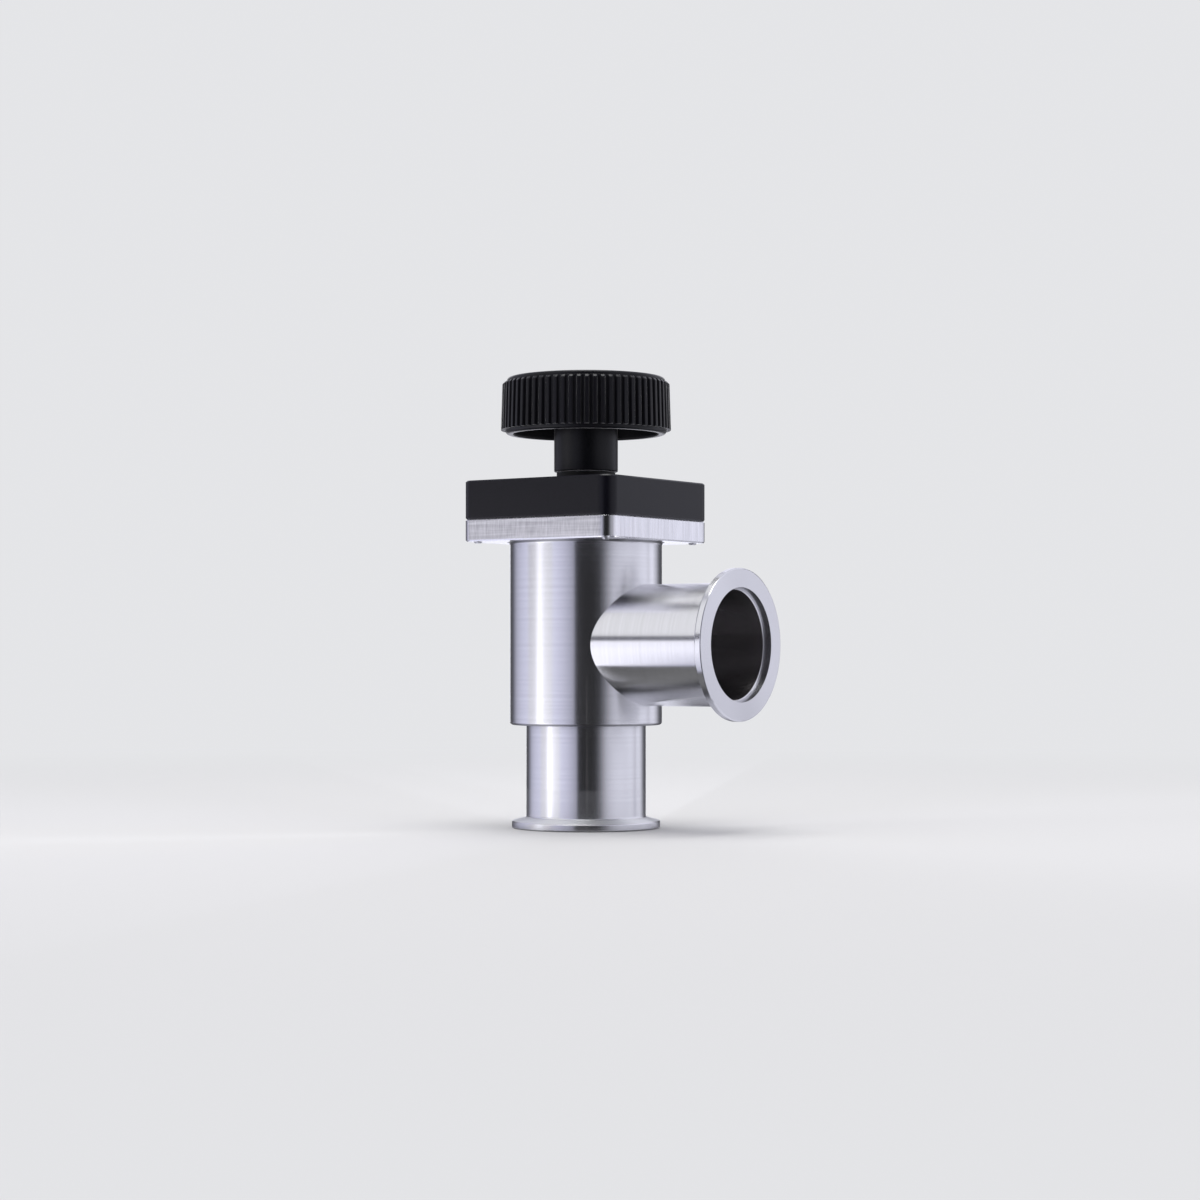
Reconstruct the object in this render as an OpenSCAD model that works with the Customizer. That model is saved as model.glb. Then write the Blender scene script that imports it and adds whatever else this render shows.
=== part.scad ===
// Hand-operated vacuum angle valve with two DN 40 small flanges.
// The origin is the centre of the bottom flange's face, +Z runs up the spindle, +X out of the side port.
// The valve is drawn closed: the disc's seal lies on the seat and the knob is at its lowest.

/* [Ports] */
// Diameter of the flow bore
port_bore = 39.6; // [37:0.1:40.6]
// Wall of the port tubes
port_wall = 2.45; // [2:0.05:3]
// Outer diameter of the small flanges
flange_od = 55; // [52:0.5:60]
// Thickness of a flange at its rim
flange_rim = 2.7; // [2.2:0.1:4]
// Angle of a flange's tapered back
flange_taper = 15; // [10:1:20]
// Rounding of a flange's rim
rim_round = 0.5; // [0.2:0.1:0.8]
// Fillet between a flange's back and its tube
neck_fillet = 0.9; // [0.5:0.1:2]
// Radial step of the centring recess
recess_step = 0.8; // [0.5:0.1:1.2]
// Depth of the centring recess
recess_depth = 2.8; // [2:0.1:3.4]
// Bevel between the recess's step and the flow bore
step_bevel = 0.25; // [0.1:0.05:0.45]
// Distance from the valve axis to the side face, and from the bottom face to the side port's axis
port_reach = 67.7; // [62:0.1:80]

/* [Body] */
// Outer diameter of the body
body_od = 56.5; // [55:0.5:62]
// Wall of the body
body_wall = 2.5; // [1.8:0.1:3]
// Height of the body above the side port's axis
body_above = 38.2; // [35:0.1:50]
// Depth of the body below the side port's axis
body_below = 29.5; // [27:0.1:34]
// Thickness of the body's floor
floor_t = 3.5; // [2:0.1:4.5]
// Rounding of the body's lower edge
shoulder_round = 1.2; // [0.5:0.1:2]
// Size of the weld fillet under the plate
weld_fillet = 1.1; // [0.5:0.1:2]

/* [Bonnet] */
// Side of the square plate and cover
square_w = 66.6; // [65:0.1:76]
// Corner radius of the square
corner_r = 5; // [3:0.1:7]
// Edge bevel of the plate
plate_bevel = 0.5; // [0.2:0.05:0.8]
// Edge bevel of the cover
bonnet_bevel = 0.5; // [0.2:0.05:1]
// Thickness of the plate
plate_t = 8.2; // [7:0.1:12]
// Height of the cover
bonnet_h = 14.2; // [13:0.1:20]

/* [Bonnet screws] */
// Distance of the screws from the square's sides
screw_inset = 4.7; // [4.2:0.1:5.2]
// Thread diameter of the screws
screw_d = 3; // [2.5:0.1:3.4]
// Head diameter of the screws
head_d = 5.5; // [5:0.1:6]
// Head height of the screws
head_h = 3; // [2:0.1:4]
// Width across flats of the screws' sockets
socket_af = 2.5; // [1.5:0.1:3]
// Thickness of the washers under the heads
washer_t = 0.8; // [0.5:0.1:1.5]
// How far the heads lie below the cover's top
head_drop = 0.5; // [0.2:0.1:2]
// How far the screw tips stand out under the plate
tip_proud = 0.6; // [0.3:0.1:1.5]
// Bevel of the screw tips
tip_bevel = 0.4; // [0.2:0.1:0.8]

/* [Disc and seat] */
// Drop of the seat below the side bore
seat_drop = 1.4; // [0.5:0.1:2.5]
// Section of the disc's seal
seal_d = 3.5; // [3:0.1:4]
// How far the seal stands out of the disc
seal_proud = 0.75; // [0.5:0.05:1]
// Gap between the disc's rim and the body's wall
disc_gap = 1.5; // [1:0.1:3]
// Overhang of the disc over the seat
disc_lip = 2; // [1.6:0.05:2.2]
// Flank angle of the seal's dovetail groove
dovetail_angle = 24; // [22:1:26]
// Thickness of the disc
disc_t = 6.5; // [5:0.1:8]
// Travel of the disc from shut to open
stroke = 12; // [8:0.5:14]

/* [Stem and foot] */
// Diameter of the stem's waist
waist_d = 16; // [12:0.5:20]
// Fillet at the foot of the waist
waist_fillet = 3; // [1:0.5:3]
// Outer diameter of the stem's head
stem_d = 22; // [21:0.1:23]
// Bore of the stem's head, which takes the spindle's foot
stem_bore = 16; // [15:0.1:17]
// Height of the spindle's foot
foot_h = 4; // [3:0.1:6]
// Diameter of the thrust ball
ball_d = 6; // [4:0.1:8]
// How deep the ball lies in each of its pockets
ball_sink = 1.5; // [1:0.1:1.8]
// Thickness of the thrust washer
thrust_t = 1; // [0.6:0.1:2]
// Thickness of the retaining ring
clip_t = 1.2; // [0.8:0.1:2]
// Depth of the retaining ring's groove
clip_groove = 0.6; // [0.4:0.05:1]
// Half of the angle that the retaining ring leaves open
clip_opening = 16; // [10:1:30]
// Height of the stem's head above that groove
clip_cover = 2.4; // [1.5:0.1:4]

/* [Bellows] */
// Number of convolutions
bellows_count = 14; // [8:1:18]
// Diameter over the crests
bellows_crest_d = 40; // [37:0.5:43]
// Diameter at the roots
bellows_root_d = 27.5; // [26.5:0.1:30]
// Wall of the bellows
bellows_wall = 0.3; // [0.15:0.05:0.4]
// Length of the plain cuff at each end
cuff_h = 2.2; // [1.5:0.1:4]
// Thickness of the bellows flange
ring_t = 4; // [3:0.1:5]
// Width of the step in the plate that the bellows flange rests on
ring_seat = 4.15; // [3.8:0.05:5]
// Inner diameter of the bellows flange
ring_id = 23.5; // [22:0.1:24.5]
// Radial gap between the disc and the plate's bore, which lets the disc through
pass_gap = 0.5; // [0.3:0.1:1]
// Section of the bonnet seal before it is squeezed
bonnet_seal_d = 2.4; // [2:0.1:2.6]
// Depth of the bonnet seal's groove
bonnet_groove_h = 1.9; // [1.4:0.1:2]
// Width of the bonnet seal's groove
bonnet_groove_w = 3; // [2.8:0.1:3.2]

/* [Spindle and nut] */
// Diameter of the spindle
spindle_d = 12; // [10:0.5:13]
// Diameter of the spindle's drive end
drive_d = 10; // [9:0.1:10.5]
// Distance of the drive flat from the axis
drive_flat = 4; // [3.4:0.1:4.4]
// Length of the drive end
drive_len = 16; // [12:0.5:18]
// Length of full spindle inside the hub
hub_entry = 6; // [3:0.5:9]
// Outer diameter of the nut's barrel
nut_d = 20; // [17:0.5:21]
// Outer diameter of the nut's flange
nut_flange_d = 34; // [30:0.5:40]
// Thickness of the nut's flange
nut_flange_t = 4; // [3:0.1:6]
// Reach of the nut below the cover
nut_drop = 8.1; // [5:0.1:10]
// Depth of the guide bush in the cover
bush_depth = 4; // [3:0.1:5]
// Diameter of the guide bush's collar
bush_d = 21.8; // [21.2:0.1:23]
// Section of the wiper ring
wiper_d = 1.5; // [1:0.1:1.8]

/* [Knob] */
// Gap between the cover and the hub with the valve shut
hub_gap = 3.8; // [2.6:0.1:6]
// Diameter of the hub
hub_d = 23.7; // [21:0.1:28]
// Length of the hub below the knob's lip
hub_len = 13.9; // [10:0.1:20]
// Height of the knob from its lip to its top
knob_h = 21; // [19:0.1:30]
// Diameter over the ribs at their foot
rib_d = 63.2; // [62:0.1:70]
// Inward draft of the ribs along their height
rib_draft = 0.55; // [0:0.05:0.8]
// Diameter of the lip and of the floor between the ribs
lip_d = 60; // [58:0.1:61]
// Number of ribs
rib_count = 66; // [40:2:80]
// Width of a rib at its top
rib_tip_w = 1.35; // [0.8:0.05:1.6]
// Width of a rib at its foot
rib_foot_w = 2; // [1.5:0.05:2.4]
// Smooth band under the ribs
lip_h = 1.6; // [1:0.1:3]
// Smooth band over the ribs
crown_h = 1.7; // [1.2:0.1:3]
// Inward step of that upper band
crown_step = 0.6; // [0.3:0.1:1.5]
// Rounding of the lip
lip_round = 1.5; // [0.8:0.1:1.6]
// Rounding of the top edge
crown_round = 1.1; // [0.5:0.1:1.2]
// Bevel of the ribs' upper ends
rib_bevel = 0.8; // [0.3:0.1:1]
// Wall of the knob's skirt behind the ribs
skirt_wall = 3; // [2.6:0.1:4]
// Thickness of the knob's top
knob_top_t = 5.5; // [5:0.1:8]
// Diameter of the cap in the knob's top
cap_d = 24; // [22:0.1:30]
// Thickness of the cap
cap_t = 2.2; // [1.5:0.1:3]

/* [Knob screw] */
// Thread diameter of the knob screw
knob_screw_d = 5; // [4:0.1:5.5]
// Head diameter of the knob screw
knob_head_d = 8.5; // [7:0.1:10]
// Head height of the knob screw
knob_head_h = 5; // [3:0.1:5.5]
// Thread length of the knob screw
knob_screw_len = 14; // [10:0.5:16]
// Width across flats of the knob screw's socket
knob_socket_af = 4; // [2.5:0.1:5]
// Outer diameter of the washer under the knob screw
knob_washer_d = 14; // [11:0.1:16]
// Thickness of that washer
knob_washer_t = 1; // [0.6:0.1:2]
// Thickness of the hub's web under that washer
web_t = 2.4; // [1.5:0.1:4]

/* [Clearances] */
// Radial gap of a turning or sliding fit
running_gap = 0.06; // [0.03:0.01:0.1]
// Gap of a pressed, screwed or welded joint
close_gap = 0.02; // [0.01:0.01:0.05]
// Gap left at a stop
stop_gap = 0.3; // [0.2:0.05:0.5]
// Gap between the closed seal and its seat
seal_touch = 0.05; // [0.02:0.01:0.1]

/* [Hidden] */
$fn = 96;

// Overlap that keeps cuts and joins clean
cut = 1;
// How deep the ribs' feet reach into the knob
rib_sink = 0.4;
// Steps of each half turn in the bellows' folds
fold_steps = 6;

// Ports
bore_r = port_bore / 2;
tube_r = bore_r + port_wall;
rim_r = flange_od / 2;
recess_r = bore_r + recess_step;
taper_z = flange_rim + (rim_r - tube_r) * tan(flange_taper);
fillet_z = taper_z - neck_fillet * tan(flange_taper) + neck_fillet / cos(flange_taper);
rim_top_z = taper_z - (rim_r - rim_round - tube_r) * tan(flange_taper) - rim_round / cos(flange_taper);

// Body
body_r = body_od / 2;
chamber_r = body_r - body_wall;
shoulder_z = port_reach - body_below;
floor_top = shoulder_z + floor_t;
plate_z = port_reach + body_above;
plate_top = plate_z + plate_t;
bonnet_top = plate_top + bonnet_h;

// Seat and disc
seat_z = port_reach - bore_r - seat_drop;
seal_z = seat_z + seal_touch + seal_d / 2;
disc_z = seat_z + seal_touch + seal_proud;
disc_top = disc_z + disc_t;
disc_r = chamber_r - disc_gap;
seat_tube_r = disc_r - disc_lip;
seat_r = seat_tube_r - port_wall / 2;
seal_groove_top = seal_z + seal_d / 2 + close_gap;
dovetail_tan = tan(dovetail_angle);
dovetail_half = sqrt(pow(seal_d / 2, 2) - pow(seal_z - disc_z, 2)) + running_gap;

// Bellows flange, nut and stem
ring_z = plate_top - ring_t;
plate_bore_r = disc_r + pass_gap;
ring_r = plate_bore_r + ring_seat;
bonnet_groove_r = (plate_bore_r + ring_r) / 2;
nut_z = plate_top - nut_drop;
stem_top = nut_z - stroke - stop_gap;
clip_z = stem_top - clip_cover - clip_t;
thrust_z = clip_z - close_gap - thrust_t;
foot_top = thrust_z - running_gap;
foot_z = foot_top - foot_h;
ball_z = foot_z + ball_sink - ball_d / 2;
socket_z = ball_z - ball_d / 2 + ball_sink;
stem_head_z = socket_z - ball_sink - clip_cover;

// Bellows
root_r = bellows_root_d / 2;
crest_r = bellows_crest_d / 2;
bellows_z = disc_top + seal_touch;
bellows_len = ring_z - bellows_z;
fold_pitch = (bellows_len - 2 * cuff_h) / bellows_count;
fold_r = fold_pitch / 4;
spigot_r = root_r - bellows_wall / 2 - running_gap;

// Spindle, nut and guide bush
spindle_r = spindle_d / 2;
nut_bore_r = spindle_r + running_gap;
hub_z = bonnet_top + hub_gap;
bush_z = bonnet_top - bush_depth;
bush_top = hub_z - stop_gap;
wiper_r = spindle_r + running_gap + wiper_d / 2;
wiper_z = (bonnet_top + bush_top) / 2;
drive_z = hub_z + hub_entry;
drive_top = drive_z + drive_len;

// Knob
lip_z = hub_z + hub_len;
knob_top = lip_z + knob_h;
rib_z = lip_z + lip_h;
rib_top = knob_top - crown_h;
lip_r = lip_d / 2;
crown_r = lip_r - crown_step;
rib_r = rib_d / 2;
skirt_r = lip_r - skirt_wall;
cavity_top = knob_top - knob_top_t;
web_z = drive_top + stop_gap;
web_top = web_z + web_t;
pocket_r = knob_washer_d / 2 + stop_gap;
cap_z = knob_top - cap_t;

// Screws
screw_at = square_w / 2 - screw_inset;
head_z = bonnet_top - head_drop - head_h;
washer_z = head_z - washer_t;
counterbore_r = head_d / 2 + stop_gap;
tip_z = plate_z - tip_proud;

function arc(cx, cy, r, from, to, steps) =
    [for (i = [0 : steps]) let (a = from + (to - from) * i / steps) [cx + r * cos(a), cy + r * sin(a)]];

module ring(r_out, r_in, h) {
    difference() {
        cylinder(r = r_out, h = h);
        translate([0, 0, -cut]) cylinder(r = r_in, h = h + 2 * cut);
    }
}

// Square slab with round corners and bevelled edges: two crossed bars and four corner posts
module bevelled_slab(h, bevel) {
    half = square_w / 2;
    at = half - corner_r;
    for (turn = [0, 90]) rotate(turn) translate([0, at, 0]) rotate([90, 0, 0]) linear_extrude(2 * at)
        polygon([[bevel - half, 0], [half - bevel, 0], [half, bevel], [half, h - bevel], [half - bevel, h],
            [bevel - half, h], [-half, h - bevel], [-half, bevel]]);
    for (x = [-at, at], y = [-at, at]) translate([x, y, 0]) rotate_extrude()
        polygon([[0, 0], [corner_r - bevel, 0], [corner_r, bevel], [corner_r, h - bevel],
            [corner_r - bevel, h], [0, h]]);
}

module at_screws() {
    for (x = [-screw_at, screw_at], y = [-screw_at, screw_at]) translate([x, y, 0]) children();
}

// Half section of a port: flange face at y = 0, tube running up to y = len
module port_section(len) {
    back = [sin(flange_taper), cos(flange_taper)];
    rim_c = [rim_r - rim_round, rim_top_z];
    fillet_c = [tube_r + neck_fillet, fillet_z];
    difference() {
        union() {
            translate([bore_r, 0]) square([port_wall, len]);
            polygon([[bore_r, 0], [rim_r - rim_round, 0], [rim_r, rim_round], [rim_r, rim_top_z],
                rim_c + rim_round * back, [tube_r, taper_z], [bore_r, taper_z]]);
            translate([rim_r - rim_round, rim_round]) circle(rim_round);
            translate(rim_c) circle(rim_round);
            difference() {
                polygon([[tube_r, taper_z], fillet_c - neck_fillet * back, fillet_c, [tube_r, fillet_z]]);
                translate(fillet_c) circle(neck_fillet);
            }
        }
        translate([0, -cut]) square([recess_r, recess_depth + cut]);
        translate([bore_r, recess_depth]) rotate(45) square(step_bevel * sqrt(2), center = true);
    }
}

module body_tube() {
    color("lightsteelblue") difference() {
        rotate_extrude() {
            translate([chamber_r, shoulder_z + shoulder_round])
                square([body_wall, plate_z - shoulder_z - shoulder_round]);
            translate([tube_r + close_gap, shoulder_z])
                square([body_r - shoulder_round - tube_r - close_gap, floor_t]);
            translate([body_r - shoulder_round, shoulder_z + shoulder_round]) circle(shoulder_round);
            translate([body_r, plate_z - weld_fillet]) difference() {
                square(weld_fillet);
                translate([weld_fillet, 0]) circle(weld_fillet);
            }
        }
        translate([0, 0, port_reach]) rotate([0, 90, 0]) cylinder(r = bore_r, h = body_od);
    }
}

// The tube runs through the body's floor, and its neck above the floor leads to the rounded seat
module bottom_port() {
    neck_z = seat_z - port_wall / 2;
    color("lightsteelblue") rotate_extrude() {
        port_section(floor_top);
        polygon([[bore_r, shoulder_z], [tube_r, shoulder_z], [tube_r, floor_top], [seat_tube_r, neck_z],
            [seat_tube_r - port_wall, neck_z], [bore_r, floor_top]]);
        translate([seat_r, neck_z]) circle(port_wall / 2);
    }
}

module side_port() {
    color("lightsteelblue") difference() {
        translate([port_reach, 0, port_reach]) rotate([0, -90, 0])
            rotate_extrude() port_section(port_reach);
        cylinder(r = body_r + close_gap, h = plate_top);
    }
}

module bonnet_plate() {
    through = plate_t + 2 * cut;
    groove_half = bonnet_groove_w / 2;
    color("silver") difference() {
        translate([0, 0, plate_z]) bevelled_slab(plate_t, plate_bevel);
        translate([0, 0, plate_z - cut]) cylinder(r = plate_bore_r, h = through);
        translate([0, 0, ring_z]) cylinder(r = ring_r + running_gap, h = ring_t + cut);
        translate([0, 0, ring_z - bonnet_groove_h])
            ring(bonnet_groove_r + groove_half, bonnet_groove_r - groove_half, bonnet_groove_h + cut);
        translate([0, 0, plate_z - cut]) at_screws() cylinder(r = screw_d / 2 + close_gap, h = through);
    }
}

module bonnet() {
    color("#26252a") difference() {
        translate([0, 0, plate_top]) bevelled_slab(bonnet_h, bonnet_bevel);
        translate([0, 0, plate_top - cut]) cylinder(r = nut_d / 2 + close_gap, h = bonnet_h + 2 * cut);
        translate([0, 0, plate_top - cut])
            cylinder(r = nut_flange_d / 2 + close_gap, h = nut_flange_t + close_gap + cut);
        at_screws() {
            translate([0, 0, plate_top - cut]) cylinder(r = screw_d / 2 + stop_gap, h = bonnet_h + 2 * cut);
            translate([0, 0, washer_z]) cylinder(r = counterbore_r, h = bonnet_h);
        }
    }
}

module socket_screw(d, len, head_w, head_t, af, bevel) {
    socket_r = af / (2 * cos(30));
    difference() {
        union() {
            cylinder(d = head_w, h = head_t);
            translate([0, 0, -len + bevel]) cylinder(d = d, h = len - bevel + head_t / 2);
            translate([0, 0, -len]) cylinder(d1 = d - 2 * bevel, d2 = d, h = bevel);
        }
        translate([0, 0, head_t / 2]) cylinder(r = socket_r, h = head_t, $fn = 6);
    }
}

module bonnet_screws() {
    color("dimgray") at_screws() translate([0, 0, head_z])
        socket_screw(screw_d, head_z - tip_z, head_d, head_h, socket_af, tip_bevel);
}

module screw_washers() {
    color("silver") at_screws() translate([0, 0, washer_z])
        ring(head_d / 2, screw_d / 2 + close_gap, washer_t);
}

// O-ring squeezed to the depth of its groove: a flat band with round sides
module bonnet_seal() {
    squeezed_h = bonnet_groove_h - 2 * close_gap;
    flat_w = bonnet_seal_d - squeezed_h;
    color("#33302e") translate([0, 0, ring_z - bonnet_groove_h / 2]) rotate_extrude()
        translate([bonnet_groove_r, 0]) {
            square([flat_w, squeezed_h], center = true);
            for (side = [-1, 1]) translate([side * flat_w / 2, 0]) circle(squeezed_h / 2);
        }
}

module bellows_flange() {
    color("silver") difference() {
        union() {
            translate([0, 0, ring_z]) cylinder(r = ring_r, h = ring_t);
            translate([0, 0, ring_z - cuff_h]) cylinder(r = spigot_r, h = cuff_h + cut);
        }
        translate([0, 0, ring_z - cuff_h - cut]) cylinder(d = ring_id, h = ring_t + cuff_h + 2 * cut);
    }
}

// One face of the folded wall, from the lower cuff to the upper one
function fold_line(side) = let (
        z0 = bellows_z + cuff_h,
        half = bellows_wall / 2,
        in_r = fold_r - side * half,
        out_r = fold_r + side * half,
        root_x = root_r + fold_r,
        crest_x = crest_r - fold_r,
        last = bellows_count - 1
    ) concat(
        [[root_r + side * half, bellows_z]],
        arc(root_x, z0, in_r, 180, 90, fold_steps / 2),
        [for (i = [0 : last]) each concat(
            arc(crest_x, z0 + (i + 0.5) * fold_pitch, out_r, -90, 90, fold_steps),
            arc(root_x, z0 + (i + 1) * fold_pitch, in_r, 270, i < last ? 90 : 180,
                i < last ? fold_steps : fold_steps / 2))],
        [[root_r + side * half, ring_z]]);

function reversed(list) = [for (i = [len(list) - 1 : -1 : 0]) list[i]];

module bellows() {
    color("gainsboro") rotate_extrude() polygon(concat(fold_line(1), reversed(fold_line(-1))));
}

module spindle_nut() {
    color("goldenrod") difference() {
        union() {
            translate([0, 0, plate_top]) cylinder(d = nut_flange_d, h = nut_flange_t);
            translate([0, 0, plate_top]) cylinder(d = nut_d, h = bush_z - plate_top - close_gap);
            translate([0, 0, nut_z]) cylinder(d = ring_id - 2 * stop_gap, h = nut_drop + cut);
        }
        translate([0, 0, nut_z - cut]) cylinder(r = nut_bore_r, h = bonnet_top - nut_z);
    }
}

module guide_bush() {
    groove_h = wiper_d + 2 * running_gap;
    color("#202024") difference() {
        union() {
            translate([0, 0, bush_z]) cylinder(d = nut_d, h = bush_depth + cut);
            translate([0, 0, bonnet_top]) cylinder(d = bush_d, h = bush_top - bonnet_top);
        }
        translate([0, 0, bush_z - cut]) cylinder(r = nut_bore_r, h = bush_top - bush_z + 2 * cut);
        translate([0, 0, wiper_z - groove_h / 2])
            cylinder(r = wiper_r + wiper_d / 2 + running_gap, h = groove_h);
    }
}

module wiper_ring() {
    color("#33302e") translate([0, 0, wiper_z]) rotate_extrude() translate([wiper_r, 0]) circle(d = wiper_d);
}

module valve_disc() {
    groove_half = dovetail_half + (seal_z - disc_z) * dovetail_tan;
    color("silver") difference() {
        union() {
            rotate_extrude() {
                translate([0, disc_z]) square([disc_r, disc_t]);
                translate([0, disc_top - cut]) square([spigot_r, cuff_h + cut]);
                translate([waist_d / 2, disc_top + cuff_h]) difference() {
                    square(waist_fillet);
                    translate([waist_fillet, waist_fillet]) circle(waist_fillet);
                }
            }
            translate([0, 0, disc_z]) cylinder(d = waist_d, h = stem_top - disc_z);
            translate([0, 0, stem_head_z]) cylinder(d = stem_d, h = stem_top - stem_head_z);
        }
        rotate_extrude() polygon([[seat_r - dovetail_half, disc_z], [seat_r + dovetail_half, disc_z],
            [seat_r + groove_half, seal_z], [seat_r + groove_half, seal_groove_top],
            [seat_r - groove_half, seal_groove_top], [seat_r - groove_half, seal_z]]);
        translate([0, 0, socket_z]) cylinder(d = stem_bore, h = stem_top - socket_z + cut);
        translate([0, 0, clip_z - close_gap])
            cylinder(r = stem_bore / 2 + clip_groove, h = clip_t + 2 * close_gap);
        translate([0, 0, ball_z]) sphere(r = ball_d / 2 + running_gap);
    }
}

module disc_seal() {
    color("#3a3532") translate([0, 0, seal_z]) rotate_extrude() translate([seat_r, 0]) circle(d = seal_d);
}

module thrust_ball() {
    color("gainsboro") translate([0, 0, ball_z]) sphere(d = ball_d);
}

module thrust_washer() {
    color("peru") translate([0, 0, thrust_z])
        ring(stem_bore / 2 - running_gap, spindle_r + stop_gap, thrust_t);
}

// Open spring ring with a plier hole at each end
module retaining_ring() {
    out_r = stem_bore / 2 + clip_groove - close_gap;
    in_r = spindle_r + stop_gap;
    hole_r = (out_r - in_r) / 4;
    hole_at = (out_r + in_r) / 2;
    hole_turn = clip_opening + asin(2 * hole_r / hole_at);
    far = 2 * out_r;
    color("slategray") translate([0, 0, clip_z]) linear_extrude(clip_t) difference() {
        circle(out_r);
        circle(in_r);
        polygon([[0, 0], far * [cos(clip_opening), -sin(clip_opening)],
            far * [cos(clip_opening), sin(clip_opening)]]);
        for (side = [-1, 1]) rotate(side * hole_turn) translate([hole_at, 0]) circle(hole_r);
    }
}

// Round bar with one flat, which drives the knob
module drive_bar(d, flat, h) {
    intersection() {
        cylinder(d = d, h = h);
        translate([-d, -d, 0]) cube([d + flat, 2 * d, h]);
    }
}

module spindle() {
    color("silver") difference() {
        union() {
            translate([0, 0, foot_z]) cylinder(r = stem_bore / 2 - running_gap, h = foot_h);
            translate([0, 0, foot_top - cut]) cylinder(r = spindle_r, h = drive_z - foot_top + cut);
            translate([0, 0, drive_z - cut]) drive_bar(drive_d, drive_flat, drive_len + cut);
        }
        translate([0, 0, ball_z]) sphere(r = ball_d / 2 + running_gap);
        translate([0, 0, web_top + knob_washer_t - knob_screw_len - cut])
            cylinder(r = knob_screw_d / 2 + close_gap, h = knob_screw_len);
    }
}

// Knob outline without its ribs
module knob_core_section() {
    translate([0, lip_z + lip_round]) square([lip_r, rib_top - lip_z - lip_round]);
    translate([0, lip_z]) square([lip_r - lip_round, lip_round + cut]);
    translate([lip_r - lip_round, lip_z + lip_round]) circle(lip_round);
    translate([0, rib_top - cut]) square([crown_r, crown_h - crown_round + cut]);
    translate([0, knob_top - crown_round - cut]) square([crown_r - crown_round, crown_round + cut]);
    translate([crown_r - crown_round, knob_top - crown_round]) circle(crown_round);
    translate([0, hub_z]) square([hub_d / 2, lip_z - hub_z + cut]);
}

// Limit of the ribs: drafted sides and a bevel at their upper ends
module rib_limit_section() {
    bevel_z = rib_top - rib_bevel;
    top_r = rib_r - rib_draft;
    polygon([[0, rib_z], [rib_r, rib_z], [top_r, bevel_z], [top_r - rib_bevel, rib_top], [0, rib_top]]);
}

// Star-shaped outline with one flat-topped tooth for each rib
module rib_outline() {
    step = 360 / rib_count;
    tip_r = rib_r + cut;
    foot_r = lip_r - rib_sink;
    flank = (rib_foot_w - rib_tip_w) / (rib_r - lip_r) / 2;
    tip_half = rib_tip_w / 2 - flank * (tip_r - rib_r);
    foot_half = rib_foot_w / 2 + flank * rib_sink;
    polygon([for (i = [0 : rib_count - 1]) let (a = i * step, u = [cos(a), sin(a)], v = [-sin(a), cos(a)])
        each [foot_r * u - foot_half * v, tip_r * u - tip_half * v, tip_r * u + tip_half * v,
            foot_r * u + foot_half * v]]);
}

module knob() {
    color("#1c1c1f") difference() {
        union() {
            rotate_extrude() knob_core_section();
            intersection() {
                translate([0, 0, rib_z]) linear_extrude(rib_top - rib_z) rib_outline();
                rotate_extrude() rib_limit_section();
            }
        }
        translate([0, 0, lip_z - cut]) ring(skirt_r, hub_d / 2, cavity_top - lip_z + cut);
        translate([0, 0, hub_z - cut]) cylinder(r = spindle_r + close_gap, h = hub_entry + cut);
        translate([0, 0, drive_z - cut])
            drive_bar(drive_d + 2 * close_gap, drive_flat + close_gap, web_z - drive_z + cut);
        translate([0, 0, web_z - cut]) cylinder(r = knob_screw_d / 2 + stop_gap, h = web_t + 2 * cut);
        translate([0, 0, web_top]) cylinder(r = pocket_r, h = knob_top - web_top + cut);
        translate([0, 0, cap_z]) cylinder(r = cap_d / 2 + close_gap, h = cap_t + cut);
    }
}

module knob_screw() {
    color("dimgray") translate([0, 0, web_top + knob_washer_t])
        socket_screw(knob_screw_d, knob_screw_len, knob_head_d, knob_head_h, knob_socket_af, tip_bevel);
}

module knob_washer() {
    color("silver") translate([0, 0, web_top])
        ring(knob_washer_d / 2, knob_screw_d / 2 + close_gap, knob_washer_t);
}

module knob_cap() {
    color("#2a2a2e") difference() {
        translate([0, 0, cap_z]) cylinder(d = cap_d, h = cap_t);
        translate([0, 0, cap_z - cut]) cylinder(r = knob_head_d / 2 + stop_gap, h = cap_t / 2 + cut);
    }
}

body_tube();
bottom_port();
side_port();
bonnet_plate();
bonnet();
bonnet_screws();
screw_washers();
bonnet_seal();
bellows_flange();
bellows();
spindle_nut();
guide_bush();
wiper_ring();
valve_disc();
disc_seal();
thrust_ball();
thrust_washer();
retaining_ring();
spindle();
knob();
knob_screw();
knob_washer();
knob_cap();
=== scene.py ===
# %% [markdown]
# # A hand-operated vacuum angle valve
#
# The valve is a turned steel body with two flanged ports, a square black cover and a ribbed black knob.
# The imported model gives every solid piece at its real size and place. This lesson dresses those pieces:
# it sets the camera and the light, gives each surface its finish, and models what is too fine for the solids.
# All lengths in a mesh are metres; sizes are written in millimetres and multiplied by MM.

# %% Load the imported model
import math

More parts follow.
